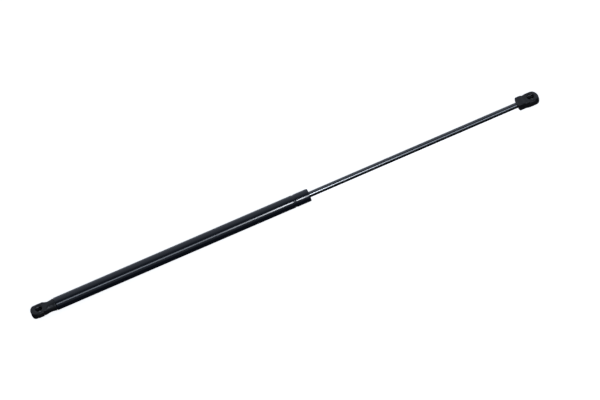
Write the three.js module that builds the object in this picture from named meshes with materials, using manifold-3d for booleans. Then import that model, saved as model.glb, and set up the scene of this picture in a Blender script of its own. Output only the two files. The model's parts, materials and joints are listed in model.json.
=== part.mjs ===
// Gas strut stay, fully extended. Millimetres. X runs along the strut from the tube's ball socket to
// the rod's, +Z is the way both socket mouths open, and the origin is the middle of the overall length,
// on the strut's axis. Until the assembly, X is measured from the centre of the tube socket's ball seat.
// A span is [low X, high X].
import * as THREE from "three";
import { LoftGeometry } from "three/addons/geometries/LoftGeometry.js";
import { mergeVertices } from "three/addons/utils/BufferGeometryUtils.js";
import Module from "manifold-3d";

const wasm = await Module();
wasm.setup();

// ---- Driving dimensions -------------------------------------------------------------------
const BALL_SPACING = 725; // ball seat to ball seat, extended
const ROD_R = 4;
const TUBE_R = 9;
const WALL = 1.3;
const TUBE_SPAN = [23.3, 397];

const ROUND = 32; // facets round a turned piece
const SEAT = 0.15; // gap between stacked pieces
const CLEAR = 0.3; // gap between a piece and the cut it sits in
const RUN = 0.12; // radial gap of a sliding or turning fit

const BORE_R = TUBE_R - WALL;
const FIXED_R = BORE_R - SEAT; // outside of whatever is fixed in the tube

// Tube: an edge rolled in at each end, and a groove that holds the seal and stops the piston
const BASE_LIP_R = 6.6;
const BASE_EDGE_R = 1.6;
const ROD_LIP_R = 5.75;
const ROD_EDGE_R = 1.2;
const GROOVE_X = TUBE_SPAN[1] - 22;
const GROOVE_HALF = 2.2;
const GROOVE_DEPTH = 0.55;

// Base plug, with its threaded stud
const STUD_R = 4;
const STUD_TIP = 9.5;
const CHAMFER = 0.6;
const PLUG_LENGTH = 8;
const PLUG_GROOVE = { near: 2.2, far: 4.8, floor: 5.9 }; // from the plug's outer face

// Seal and guide, stacked outwards from the groove
const SUPPORT_RING = 1.5;
const SEAL_LENGTH = 5.8;
const BUSH_R = 5.05;

// Rod ends and piston pack
const THREAD_R = 3;
const PILOT_R = 2.75; // the rod's reduced end, on which the pack sits
const PISTON_LENGTH = 9;
const PISTON_R = BORE_R - 0.2;
const WASHER = 1.3;
const FRONT_WASHER_R = 5.5;
const REAR_WASHER_R = 5;
const DISC = 0.6;
const DISC_R = 6;
const RIVET = 1.8;
const RIVET_R = 4.1;
const RING_GROOVE = { near: 2.8, far: 6.2, floor: 5.9 }; // from the piston's front face
const RING = { near: 3.2, far: 5.8, inside: 6.1, split: 0.18 }; // split in radians
const PORT_R = 0.8;
const PORT_AT = 4.3;
const PORTS = 3;

// Ball sockets, each in its own frame: the ball seat at the origin and the strut along +X
const BALL_R = 5; // the studs that the sockets snap onto
const SEAT_R = BALL_R + 0.05;
const MOUTH = { r: 6.7, depth: 0.8 }; // countersink round the mouth
const TUBE_HEAD = { nose: 11.9, cheek: 6.9, half: 8.7, mouth: 5.65, back: 7, backR: 6.8 };
const ROD_HEAD = { nose: 10.5, cheek: 5.2, half: 8.8, mouth: 5.7, back: 6.7, backR: 3 };
const NOSE_EDGE = 1;
const COLLAR_FACE = 23;
const SHANK_FACE = 21.2;
const ROD_SINK = 1.5; // how far the rod's full diameter enters the shank
const ROD_BORE_END = 8;

// Spring clips: a steel band round the head, its ends turned in across the mouth as lips
const CLIP_HALF = 4;
const CLIP_STEEL = 0.7;
const LIP_TOP = 3.7;
const LIP_REACH = 3.75; // from the ball's axis to a lip's edge
const CLIP_TRAVEL = 3; // how far a clip is levered back to free the ball
const LEVER_NOTCH = { start: 3, end: 6.5, half: 2.5, depth: 1.2 }; // under the band's edge, at the back

// ---- Solids -------------------------------------------------------------------------------
function toManifold(geometry) {
  const bare = new THREE.BufferGeometry();
  bare.setAttribute("position", geometry.attributes.position);
  bare.setIndex(geometry.index);
  const merged = mergeVertices(bare);
  const index = merged.index.array;
  const triangles = [];
  for (let i = 0; i < index.length; i += 3) {
    const [a, b, c] = index.subarray(i, i + 3);
    if (a !== b && b !== c && c !== a) triangles.push(a, b, c);
  }
  const vertProperties = merged.attributes.position.array;
  const triVerts = new Uint32Array(triangles);
  return new wasm.Manifold(new wasm.Mesh({ numProp: 3, vertProperties, triVerts }));
}

function toGeometry(solid) {
  const mesh = solid.getMesh();
  const geometry = new THREE.BufferGeometry();
  geometry.setAttribute("position", new THREE.BufferAttribute(mesh.vertProperties, 3));
  geometry.setIndex(new THREE.BufferAttribute(mesh.triVerts, 1));
  geometry.computeVertexNormals();
  return geometry;
}

// A profile of [x, radius] points turned about the X axis, its outer side drawn towards +X
function turned(profile, facets = ROUND) {
  const points = profile.map(([x, radius]) => new THREE.Vector2(radius, x));
  return new THREE.LatheGeometry(points, facets).rotateZ(-Math.PI / 2);
}

function turnedRing(profile) {
  return turned([...profile, profile[0]]);
}

function sleeve([x0, x1], inner, outer) {
  return turnedRing([
    [x0, inner],
    [x0, outer],
    [x1, outer],
    [x1, inner],
  ]);
}

function rod([x0, x1], radius, facets = ROUND) {
  return turned(
    [
      [x0, 0],
      [x0, radius],
      [x1, radius],
      [x1, 0],
    ],
    facets,
  );
}

// Points along an arc, its centre and its two ends' angles given in degrees
function arc([x, r], radius, from, to, steps = 4) {
  return Array.from({ length: steps + 1 }, (_, i) => {
    const angle = THREE.MathUtils.degToRad(from + ((to - from) * i) / steps);
    return [x + radius * Math.cos(angle), r + radius * Math.sin(angle)];
  });
}

function block([x0, x1], [y0, y1], [z0, z1]) {
  const box = new THREE.BoxGeometry(x1 - x0, y1 - y0, z1 - z0);
  return toManifold(box.translate((x0 + x1) / 2, (y0 + y1) / 2, (z0 + z1) / 2));
}

// ---- Tube and base plug -------------------------------------------------------------------
// The rolled groove in a wall of the given radius
function groove(radius, steps = 6) {
  return Array.from({ length: steps + 1 }, (_, i) => {
    const across = -1 + (2 * i) / steps;
    const depth = (GROOVE_DEPTH * (1 + Math.cos(Math.PI * across))) / 2;
    return [GROOVE_X + across * GROOVE_HALF, radius - depth];
  });
}

function pressureTube() {
  const [start, end] = TUBE_SPAN;
  return turnedRing([
    [start, BASE_LIP_R],
    ...arc([start + BASE_EDGE_R, TUBE_R - BASE_EDGE_R], BASE_EDGE_R, 180, 90),
    ...groove(TUBE_R),
    ...arc([end - ROD_EDGE_R, TUBE_R - ROD_EDGE_R], ROD_EDGE_R, 90, 0),
    [end, ROD_LIP_R],
    [end - WALL, ROD_LIP_R],
    [end - WALL, BORE_R],
    ...groove(BORE_R).reverse(),
    [start + WALL, BORE_R],
    [start + WALL, BASE_LIP_R],
  ]);
}

const PLUG_FACE = TUBE_SPAN[0] + WALL + CLEAR;

function basePlug() {
  const hub = BASE_LIP_R - CLEAR;
  const { near, far, floor } = PLUG_GROOVE;
  const end = PLUG_FACE + PLUG_LENGTH;
  return turned([
    [STUD_TIP, 0],
    [STUD_TIP, STUD_R - CHAMFER],
    [STUD_TIP + CHAMFER, STUD_R],
    [COLLAR_FACE + CLEAR, STUD_R],
    [COLLAR_FACE + CLEAR, hub],
    [PLUG_FACE, hub],
    [PLUG_FACE, FIXED_R],
    [PLUG_FACE + near, FIXED_R],
    [PLUG_FACE + near, floor],
    [PLUG_FACE + far, floor],
    [PLUG_FACE + far, FIXED_R],
    [end - CHAMFER, FIXED_R],
    [end, FIXED_R - CHAMFER],
    [end, 0],
  ]);
}

function baseSealRing() {
  const { near, far, floor } = PLUG_GROOVE;
  const inside = floor + SEAT;
  const outside = BORE_R - SEAT / 2;
  const centre = [PLUG_FACE + (near + far) / 2, (inside + outside) / 2];
  const round = arc(centre, (outside - inside) / 2, 360, 0, 10);
  return turned(round);
}

// ---- Rod seal and guide -------------------------------------------------------------------
const SUPPORT_START = GROOVE_X + GROOVE_HALF + CLEAR;
const SEAL_START = SUPPORT_START + SUPPORT_RING + SEAT;
const SEAL_END = SEAL_START + SEAL_LENGTH;
const GUIDE = {
  start: SEAL_END + SEAT,
  shoulder: TUBE_SPAN[1] - WALL - CLEAR,
  nose: TUBE_SPAN[1] - CLEAR,
  pocketEnd: TUBE_SPAN[1] - WALL - 2 * CLEAR,
};

// The lip reaches back along the rod, and the groove behind it lets the gas press it home
function rodSeal() {
  const lip = ROD_R + RUN;
  const groove = { bottom: SEAL_START + 2.2, inner: 5.5, outer: 6.5 };
  return turnedRing([
    [SEAL_START, lip + 0.7],
    [SEAL_START, groove.inner],
    [groove.bottom, groove.inner],
    [groove.bottom, groove.outer],
    [SEAL_START, groove.outer],
    [SEAL_START, FIXED_R],
    [SEAL_END, FIXED_R],
    [SEAL_END, lip + 0.5],
    [SEAL_START + 3.4, lip + 0.3],
    [SEAL_START + 1.2, lip],
  ]);
}

function rodGuide() {
  const mouth = ROD_R + CLEAR;
  const pocket = BUSH_R + SEAT;
  return turnedRing([
    [GUIDE.start, pocket],
    [GUIDE.start, FIXED_R],
    [GUIDE.shoulder, FIXED_R],
    [GUIDE.shoulder, ROD_LIP_R - CLEAR],
    [GUIDE.nose, ROD_LIP_R - CLEAR],
    [GUIDE.nose, mouth + CHAMFER / 2],
    [GUIDE.nose - CHAMFER / 2, mouth],
    [GUIDE.pocketEnd, mouth],
    [GUIDE.pocketEnd, pocket],
  ]);
}

// ---- Rod and piston, stacked from the rod's shoulder towards the base ---------------------
const below = (face, thickness) => [face - SEAT - thickness, face - SEAT];
const PISTON_FRONT = GROOVE_X - GROOVE_HALF - CLEAR;
const FRONT_WASHER = [PISTON_FRONT + SEAT, PISTON_FRONT + SEAT + WASHER];
const ROD_SHOULDER = FRONT_WASHER[1] + SEAT;
const PISTON = [PISTON_FRONT - PISTON_LENGTH, PISTON_FRONT];
const ORIFICE = below(PISTON[0], DISC);
const REAR_WASHER = below(ORIFICE[0], WASHER);
const RIVET_HEAD = below(REAR_WASHER[0], RIVET);
const PACK_BORE = PILOT_R + SEAT;

function pistonRod() {
  const full = BALL_SPACING - SHANK_FACE + ROD_SINK - CLEAR;
  const tip = BALL_SPACING - ROD_BORE_END - CLEAR;
  const [low, high] = RIVET_HEAD;
  return turned([
    [low, 0],
    [low, RIVET_R * 0.45],
    [low + RIVET * 0.3, RIVET_R * 0.8],
    [low + RIVET * 0.75, RIVET_R],
    [high, RIVET_R],
    [high, PILOT_R],
    [ROD_SHOULDER, PILOT_R],
    [ROD_SHOULDER, ROD_R],
    [full, ROD_R],
    [full, THREAD_R],
    [tip - CHAMFER, THREAD_R],
    [tip, THREAD_R - CHAMFER],
    [tip, 0],
  ]);
}

function piston() {
  const { near, far, floor } = RING_GROOVE;
  const [back, front] = PISTON;
  const body = turnedRing([
    [back, PACK_BORE],
    [back, PISTON_R],
    [front - far, PISTON_R],
    [front - far, floor],
    [front - near, floor],
    [front - near, PISTON_R],
    [front, PISTON_R],
    [front, PACK_BORE],
  ]);
  let solid = toManifold(body);
  for (let i = 0; i < PORTS; i += 1) {
    const angle = (2 * Math.PI * i) / PORTS;
    const port = rod([back - 1, front + 1], PORT_R, 12);
    port.translate(0, PORT_AT * Math.sin(angle), PORT_AT * Math.cos(angle));
    solid = solid.subtract(toManifold(port));
  }
  return toGeometry(solid);
}

// Split ring: it grips the bore and slides with the piston, which can turn inside it
function pistonRing() {
  const start = (RING.split - Math.PI) / 2;
  const end = start + 2 * Math.PI - RING.split;
  const shape = new THREE.Shape();
  shape.absarc(0, 0, BORE_R - SEAT / 2, start, end, false);
  shape.absarc(0, 0, RING.inside, end, start, true);
  const options = { depth: RING.far - RING.near, bevelEnabled: false, curveSegments: ROUND };
  const ring = new THREE.ExtrudeGeometry(shape, options);
  return ring.rotateY(Math.PI / 2).translate(PISTON_FRONT - RING.far, 0, 0);
}

// It covers the ports, and the notch in its edge is the one passage that it leaves open
function orificeDisc() {
  const disc = toManifold(sleeve(ORIFICE, PACK_BORE, DISC_R));
  const past = [ORIFICE[0] - 1, ORIFICE[1] + 1];
  const notch = block(past, [-PORT_R / 2, PORT_R / 2], [PORT_AT, DISC_R + 1]);
  return toGeometry(disc.subtract(notch));
}

// ---- Ball sockets -------------------------------------------------------------------------
// A section across the socket: half width, height of the mouth side and of the back, and the corner
// radius on each. A round section has all five alike.
const section = (x, half, top, back, topR, backR) => ({ x, half, top, back, topR, backR });
const roundSection = (x, r) => section(x, r, r, r, r, r);
const CORNER_STEPS = 5;
const OUTSIDE = 15; // past the outside of any socket

function sectionRing({ x, half, top, back, topR, backR }) {
  const corners = [
    [half - topR, top - topR, topR],
    [topR - half, top - topR, topR],
    [backR - half, backR - back, backR],
    [half - backR, backR - back, backR],
  ];
  return corners.flatMap(([y, z, radius], quarter) =>
    Array.from({ length: CORNER_STEPS + 1 }, (_, i) => {
      const angle = (quarter + i / CORNER_STEPS) * (Math.PI / 2);
      return new THREE.Vector3(x, y + radius * Math.cos(angle), z + radius * Math.sin(angle));
    }),
  );
}

function lofted(sections) {
  return toManifold(new LoftGeometry(sections.map(sectionRing), { capStart: true, capEnd: true }));
}

// All that lies behind a nose that is round in plan, with its mouth edge eased
function noseEnvelope({ nose, cheek, half, mouth }) {
  const sagitta = nose - cheek;
  const radius = (half * half + sagitta * sagitta) / (2 * sagitta);
  const sweep = Math.asin(half / radius);
  const plan = new THREE.Shape();
  plan.moveTo(2 * OUTSIDE, -OUTSIDE);
  plan.lineTo(2 * OUTSIDE, OUTSIDE);
  plan.lineTo(-cheek, OUTSIDE);
  plan.absarc(radius - nose, 0, radius, Math.PI - sweep, Math.PI + sweep, false);
  plan.lineTo(-cheek, -OUTSIDE);
  return new THREE.ExtrudeGeometry(plan, {
    depth: 2 * OUTSIDE,
    bevelThickness: NOSE_EDGE,
    bevelSize: NOSE_EDGE,
    bevelOffset: -NOSE_EDGE,
    bevelSegments: 2,
    curveSegments: 10,
  }).translate(0, 0, mouth - NOSE_EDGE - 2 * OUTSIDE);
}

// Down one side of the head, round its back and up the other, moved in by the inset
function headOutline(shape, { half, back, backR }, inset, top) {
  const side = half - inset;
  const radius = backR - inset;
  const centre = radius - (back - inset);
  shape.lineTo(side, top);
  shape.lineTo(side, centre);
  shape.absarc(side - radius, centre, radius, 0, -Math.PI / 2, true);
  shape.absarc(radius - side, centre, radius, -Math.PI / 2, -Math.PI, true);
  shape.lineTo(-side, top);
}

// A shape drawn across the strut, given a length along it and centred on the ball
function alongStrut(shape, length) {
  const options = { depth: length, bevelEnabled: false, curveSegments: 6 };
  return new THREE.ExtrudeGeometry(shape, options)
    .translate(0, 0, -length / 2)
    .rotateX(Math.PI / 2)
    .rotateZ(Math.PI / 2);
}

// The recess that the band lies in, the windows through which its lips reach the ball, and the notch
function clipRecess(head) {
  const along = [-CLIP_HALF - CLEAR, CLIP_HALF + CLEAR];
  const across = [-OUTSIDE, OUTSIDE];
  const top = LIP_TOP + CLEAR;
  const bottom = LIP_TOP - CLIP_STEEL - CLIP_TRAVEL - CLEAR;
  const core = new THREE.Shape();
  core.moveTo(0, OUTSIDE);
  headOutline(core, head, CLIP_STEEL + CLEAR, OUTSIDE);
  const band = block(along, across, [-OUTSIDE, top]).subtract(toManifold(alongStrut(core, 2 * OUTSIDE)));
  const windows = block(along, across, [bottom, top]);
  const { start, end, half, depth } = LEVER_NOTCH;
  return band.add(windows).add(block([start, end], [-half, half], [-OUTSIDE, depth - head.back]));
}

// The ball's hollow, open at the mouth, where it is countersunk
function ballHollow(mouth) {
  const bowl = arc([0, 0], SEAT_R, -90, 0, 6).map(([r, z]) => new THREE.Vector2(Math.abs(r), z));
  bowl[0].x = 0;
  const profile = [
    ...bowl,
    new THREE.Vector2(SEAT_R, mouth - MOUTH.depth),
    new THREE.Vector2(MOUTH.r, mouth),
    new THREE.Vector2(MOUTH.r, OUTSIDE),
    new THREE.Vector2(0, OUTSIDE),
  ];
  return toManifold(new THREE.LatheGeometry(profile, ROUND).rotateX(Math.PI / 2));
}

function socket(sections, head, bores) {
  let solid = lofted(sections).intersect(toManifold(noseEnvelope(head)));
  solid = solid.subtract(ballHollow(head.mouth)).subtract(clipRecess(head));
  for (const [start, radius] of bores) {
    solid = solid.subtract(toManifold(rod([start, 2 * OUTSIDE], radius)));
  }
  return toGeometry(solid);
}

// Round collar and waist, opening into a head with a round back
function tubeSocket() {
  const { half, mouth, back, backR } = TUBE_HEAD;
  const sections = [
    section(-12.5, half, mouth, 2.8, 1, 2.6),
    section(-11.4, half, mouth, 4.3, 1, 4),
    section(-9.6, half, mouth, 5.8, 1, 5.4),
    section(-7.4, half, mouth, 6.7, 1, 6.3),
    section(-5, half, mouth, back, 1, backR),
    section(7.4, half, mouth, back, 1, backR),
    section(8.4, 8.6, 5.8, 7.05, 1.8, 6.85),
    section(9.8, 8.3, 6.3, 7.2, 3.6, 7),
    section(11.4, 7.95, 6.95, 7.4, 5.4, 7.2),
    section(13, 7.7, 7.45, 7.6, 7, 7.4),
    roundSection(14.8, 7.65),
    roundSection(17.2, 7.8),
    roundSection(19.4, 8.05),
    roundSection(20.9, 8.4),
    roundSection(22.5, 8.55),
    roundSection(COLLAR_FACE, 8.3),
  ];
  return socket(sections, TUBE_HEAD, [[STUD_TIP - CLEAR, STUD_R + SEAT]]);
}

// Square shank with chamfered end, dipping on the mouth side before the head
function rodSocket() {
  const { half, mouth, back, backR } = ROD_HEAD;
  const sections = [
    section(-11, half, 2.6, 3.5, 1.4, 2.3),
    section(-9.4, half, 3.3, 4.9, 1.3, 2.7),
    section(-7.4, half, 4.2, 5.9, 1.2, backR),
    section(-4.9, half, 5, 6.6, 1.1, backR),
    section(-2.6, half, 5.5, back, 1, backR),
    section(-0.8, half, mouth, back, 1, backR),
    section(5.4, half, mouth, back, 1, backR),
    section(7.3, 8.75, 5.4, 6.2, 1, 2.5),
    section(9.4, 8.55, 5.1, 5.3, 1, 1.9),
    section(11, 8.45, 5.7, 4.7, 1.1, 1.4),
    section(12.7, 8.45, 6.6, 4.55, 1.2, 1.2),
    section(13.6, 8.45, 6.85, 4.55, 1.2, 1.2),
    section(19.7, 8.45, 6.85, 4.55, 1.2, 1.2),
    section(SHANK_FACE, 6.9, 5.3, 3.3, 0.9, 0.9),
  ];
  return socket(sections, ROD_HEAD, [
    [ROD_BORE_END, THREAD_R + SEAT],
    [SHANK_FACE - ROD_SINK, ROD_R + SEAT],
  ]);
}

function clip(head) {
  const inner = head.half - CLIP_STEEL;
  const lipBottom = LIP_TOP - CLIP_STEEL;
  const radius = head.backR - CLIP_STEEL;
  const centre = head.backR - head.back;
  const shape = new THREE.Shape();
  shape.moveTo(LIP_REACH, LIP_TOP);
  headOutline(shape, head, 0, LIP_TOP);
  shape.lineTo(-LIP_REACH, LIP_TOP);
  shape.lineTo(-LIP_REACH, lipBottom);
  shape.lineTo(-inner, lipBottom);
  shape.absarc(radius - inner, centre, radius, -Math.PI, -Math.PI / 2, false);
  shape.absarc(inner - radius, centre, radius, -Math.PI / 2, 0, false);
  shape.lineTo(inner, lipBottom);
  shape.lineTo(LIP_REACH, lipBottom);
  return alongStrut(shape, 2 * CLIP_HALF);
}

// ---- Assembly -----------------------------------------------------------------------------
const finish = (color, roughness, metalness) => ({ color, roughness, metalness });
const BLACK_PAINT = finish(0x15181d, 0.3, 0.2);
const DARK_STEEL = finish(0x5b5e62, 0.3, 0.9);
const PLAIN_STEEL = finish(0x8c8f92, 0.4, 0.9);
const CLIP_BLACK = finish(0x26272a, 0.45, 0.6);
const NYLON = finish(0x1b1c1f, 0.65, 0);
const GUIDE_PLASTIC = finish(0x141416, 0.6, 0);
const RUBBER = finish(0x0e0e0f, 0.85, 0);
const BRONZE = finish(0x8a6a3c, 0.4, 0.8);
const RING_PLASTIC = finish(0xcfc8b4, 0.6, 0);

function piece(name, geometry, material) {
  const mesh = new THREE.Mesh(geometry, new THREE.MeshStandardMaterial(material));
  mesh.name = name;
  return mesh;
}

const strut = new THREE.Group();
strut.add(
  piece("pressure_tube", pressureTube(), BLACK_PAINT),
  piece("base_plug", basePlug(), PLAIN_STEEL),
  piece("base_seal_ring", baseSealRing(), RUBBER),
  piece("seal_support_ring", sleeve([SUPPORT_START, SEAL_START - SEAT], ROD_R + 0.4, FIXED_R), PLAIN_STEEL),
  piece("rod_seal", rodSeal(), RUBBER),
  piece("rod_guide", rodGuide(), GUIDE_PLASTIC),
  piece("guide_bush", sleeve([GUIDE.start + CLEAR, GUIDE.pocketEnd - CLEAR], ROD_R + RUN, BUSH_R), BRONZE),
  piece("piston_rod", pistonRod(), DARK_STEEL),
  piece("piston_front_washer", sleeve(FRONT_WASHER, PACK_BORE, FRONT_WASHER_R), PLAIN_STEEL),
  piece("piston", piston(), GUIDE_PLASTIC),
  piece("piston_ring", pistonRing(), RING_PLASTIC),
  piece("orifice_disc", orificeDisc(), PLAIN_STEEL),
  piece("piston_rear_washer", sleeve(REAR_WASHER, PACK_BORE, REAR_WASHER_R), PLAIN_STEEL),
);

const tubeEnd = new THREE.Group();
tubeEnd.add(
  piece("tube_socket", tubeSocket(), NYLON),
  piece("tube_socket_clip", clip(TUBE_HEAD), CLIP_BLACK),
);

const rodEnd = new THREE.Group();
rodEnd.add(
  piece("rod_socket", rodSocket(), NYLON),
  piece("rod_socket_clip", clip(ROD_HEAD), CLIP_BLACK),
);
rodEnd.position.x = BALL_SPACING;
rodEnd.rotation.z = Math.PI;

strut.add(tubeEnd, rodEnd);
strut.position.x = (TUBE_HEAD.nose - BALL_SPACING - ROD_HEAD.nose) / 2;
export default strut;
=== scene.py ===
"""Looks for the gas strut stay: fine meshes, materials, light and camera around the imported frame.

X runs along the strut, and a span is (low X, high X). Lengths are in millimetres, and the studio's in metres.
"""
import json
import math

import bpy
import numpy as np
from mathutils import Matrix, Vector


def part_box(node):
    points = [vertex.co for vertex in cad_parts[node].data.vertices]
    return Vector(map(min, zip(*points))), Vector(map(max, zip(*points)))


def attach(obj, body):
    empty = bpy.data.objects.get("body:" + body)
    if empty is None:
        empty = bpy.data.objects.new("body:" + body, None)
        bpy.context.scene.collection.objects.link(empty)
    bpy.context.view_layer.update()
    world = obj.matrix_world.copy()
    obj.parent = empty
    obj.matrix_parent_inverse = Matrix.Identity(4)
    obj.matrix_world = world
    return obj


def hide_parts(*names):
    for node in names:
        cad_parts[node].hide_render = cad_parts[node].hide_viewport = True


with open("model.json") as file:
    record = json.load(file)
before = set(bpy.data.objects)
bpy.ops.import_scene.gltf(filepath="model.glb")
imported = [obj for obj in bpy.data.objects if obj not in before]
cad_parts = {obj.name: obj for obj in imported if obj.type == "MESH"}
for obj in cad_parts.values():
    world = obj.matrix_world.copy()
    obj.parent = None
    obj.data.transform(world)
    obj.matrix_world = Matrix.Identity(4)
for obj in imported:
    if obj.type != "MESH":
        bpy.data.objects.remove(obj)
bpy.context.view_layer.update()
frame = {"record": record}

MM = 0.001
SEGMENTS = 96  # round a turned piece
TUBE_SEGMENTS = 160
THREAD_STEPS = 10  # points along each turn of a thread
SHARP = 35  # the least angle in degrees between two faces whose edge stays sharp
BODY_OF = {node: body for body, nodes in frame["record"]["behaviour"]["bodies"].items() for node in nodes}


# ---- The frame's sizes ---------------------------------------------------------------------
class Extent:
    """A node's box in millimetres, with the radius of a turned piece."""

    def __init__(self, node):
        low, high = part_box(node)
        self.low, self.high = low / MM, high / MM
        self.x0, self.x1 = self.low.x, self.high.x
        self.r = self.high.z


TUBE = Extent("pressure_tube")
PLUG = Extent("base_plug")
PLUG_SEAL = Extent("base_seal_ring")
SUPPORT = Extent("seal_support_ring")
SEAL = Extent("rod_seal")
GUIDE = Extent("rod_guide")
BUSH = Extent("guide_bush")
ROD = Extent("piston_rod")
FRONT_WASHER = Extent("piston_front_washer")
PISTON = Extent("piston")
RING = Extent("piston_ring")
DISC = Extent("orifice_disc")
REAR_WASHER = Extent("piston_rear_washer")
TUBE_SOCKET = Extent("tube_socket")
ROD_SOCKET = Extent("rod_socket")
TUBE_CLIP = Extent("tube_socket_clip")
ROD_CLIP = Extent("rod_socket_clip")

WALL = 1.3
BORE_R = TUBE.r - WALL
ROD_R = 4.0
FIT = 0.15  # gap between stacked pieces
CLEAR = 0.3  # gap between a piece and the cut that it sits in
SLIDE_FIT = 0.12  # gap round the rod where it slides
TUBE_SEAT = (TUBE_CLIP.x0 + TUBE_CLIP.x1) / 2  # the ball seats' centres, on the X axis
ROD_SEAT = (ROD_CLIP.x0 + ROD_CLIP.x1) / 2
M8 = {"pitch": 1.25, "depth": 0.65, "r": 4.0}
M6 = {"pitch": 1.0, "depth": 0.55, "r": 3.0}


# ---- Meshes --------------------------------------------------------------------------------
def finished(node, vertices, faces, material, sharp=SHARP):
    """A piece that stands for a node: it rides on the node's body and takes its material slot."""
    mesh = bpy.data.meshes.new(node + "_finished")
    mesh.from_pydata((np.asarray(vertices) * MM).tolist(), [], [list(map(int, face)) for face in faces])
    mesh.validate()
    mesh.shade_smooth()
    mesh.set_sharp_from_angle(angle=math.radians(sharp))
    note_curvature(mesh)
    piece = bpy.data.objects.new(node + "_finished", mesh)
    bpy.context.collection.objects.link(piece)
    mesh.materials.append(material)
    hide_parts(node)
    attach(piece, BODY_OF[node])
    return piece


def note_curvature(mesh):
    """Keeps each point's mean curvature on the mesh, per millimetre, outer edges being positive."""
    count = len(mesh.vertices)
    place, normal = np.empty(3 * count), np.empty(3 * count)
    mesh.vertices.foreach_get("co", place)
    mesh.vertices.foreach_get("normal", normal)
    place, normal = place.reshape(-1, 3) / MM, normal.reshape(-1, 3)
    pairs = np.empty(2 * len(mesh.edges), int)
    mesh.edges.foreach_get("vertices", pairs)
    pairs = np.concatenate([pairs.reshape(-1, 2), pairs.reshape(-1, 2)[:, ::-1]])
    gap = place[pairs[:, 1]] - place[pairs[:, 0]]
    bend = -2 * (gap * normal[pairs[:, 0]]).sum(-1) / (gap**2).sum(-1)
    links = np.bincount(pairs[:, 0], minlength=count)
    curvature = np.bincount(pairs[:, 0], bend, count) / links
    spread = np.bincount(pairs[:, 0], curvature[pairs[:, 1]], count) / links
    layer = mesh.attributes.new("curvature", "FLOAT", "POINT")
    layer.data.foreach_set("value", ((curvature + spread) / 2).astype(np.float32))


def eased(points, closed=True, steps=5):
    """The points of an outline, with each corner rounded off. A point is (a, b) or (a, b, radius)."""
    corners = [(Vector(point[:2]), point[2] if len(point) > 2 else 0) for point in points]
    line = []
    for number, (corner, radius) in enumerate(corners):
        end = not closed and number in (0, len(corners) - 1)
        if end or not radius:
            line.append(tuple(corner))
            continue
        back = corners[number - 1][0] - corner
        ahead = corners[(number + 1) % len(corners)][0] - corner
        half = back.angle(ahead) / 2
        most = 0.48 * min(back.length, ahead.length)  # so that neighbouring corners don't meet
        reach = min(radius / math.tan(half), most)
        start, stop = corner + back.normalized() * reach, corner + ahead.normalized() * reach
        for step in range(steps + 1):
            t = step / steps
            weights = (1 - t) ** 2, 2 * t * (1 - t) * math.sin(half), t**2
            point = weights[0] * start + weights[1] * corner + weights[2] * stop
            line.append(tuple(point / sum(weights)))
    return line


def bar(half_width, half_thickness, ease):
    """The section of a flat bar with eased corners."""
    a, b = half_width, half_thickness
    corners = [(-a, -b, ease), (a, -b, ease), (a, b, ease), (-a, b, ease)]
    return eased(corners, steps=3)


def turned(node, outline, material, segments=SEGMENTS, ripple=None, closed=True):
    """A solid turned about the X axis from (x, radius) points, its outer side drawn towards +X.
    An outline that isn't closed starts and ends on the axis. A ripple changes the radius round a ring."""
    turn = np.linspace(0, 2 * math.pi, segments, endpoint=False)
    vertices, rings, faces = [], [], []
    for x, radius in outline:
        if radius < 1e-6:
            rings.append([len(vertices)] * segments)
            vertices.append((x, 0, 0))
            continue
        rings.append(list(range(len(vertices), len(vertices) + segments)))
        radii = radius + (ripple(x, turn) if ripple else 0) * np.ones(segments)
        vertices.extend(zip([x] * segments, radii * np.sin(turn), radii * np.cos(turn)))
    pairs = list(zip(rings, rings[1:]))
    if closed:
        pairs.append((rings[-1], rings[0]))
    for near, far in pairs:
        for one in range(segments):
            two = (one + 1) % segments
            face = [near[one], far[one], far[two], near[two]]
            faces.append(list(dict.fromkeys(face)))
    return finished(node, vertices, faces, material)


def sleeve(node, extent, inner, material, ease=0.15):
    """A plain ring with eased corners."""
    outline = [
        (extent.x0, inner, ease),
        (extent.x0, extent.r, ease),
        (extent.x1, extent.r, ease),
        (extent.x1, inner, ease),
    ]
    return turned(node, eased(outline, steps=3), material)


def thread(span, pitch, depth):
    """(outline points, ripple) of a screw thread, whose trench follows a helix and fades at both ends."""
    points = np.linspace(*span, int((span[1] - span[0]) / pitch * THREAD_STEPS))

    def ripple(x, turn):
        if not span[0] <= x <= span[1]:
            return 0
        fade = min(1, (x - span[0]) / pitch, (span[1] - x) / pitch)
        phase = (x / pitch - turn / (2 * math.pi)) % 1
        trench = np.clip(1.25 - np.abs(phase - 0.5) * 3.2, 0, 1)  # 1 on its flat floor
        return -depth * trench * fade

    return points, ripple


def swept(node, frames, section, material):
    """A section carried along frames of (origin, first axis, second axis)."""
    vertices, faces = [], []
    count = len(section)
    for origin, first, second in frames:
        for a, b in section:
            vertices.append(Vector(origin) + Vector(first) * a + Vector(second) * b)
    for ring in range(len(frames) - 1):
        for one in range(count):
            two = (one + 1) % count
            near, far = ring * count, (ring + 1) * count
            faces.append([near + one, far + one, far + two, near + two])
    faces.append(list(range(count)))
    faces.append(list(range((len(frames) - 1) * count, len(frames) * count))[::-1])
    finished(node, vertices, faces, material)


def carve(piece, cutters):
    """Cuts other objects out of a piece, and removes them."""
    for cutter in cutters:
        cut = piece.modifiers.new("cut", "BOOLEAN")
        cut.object = cutter
        cut.solver = "EXACT"
    graph = bpy.context.evaluated_depsgraph_get()
    mesh = bpy.data.meshes.new_from_object(piece.evaluated_get(graph))
    piece.modifiers.clear()
    piece.data = mesh
    mesh.shade_smooth()
    mesh.set_sharp_from_angle(angle=math.radians(SHARP))
    for cutter in cutters:
        bpy.data.objects.remove(cutter)


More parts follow.
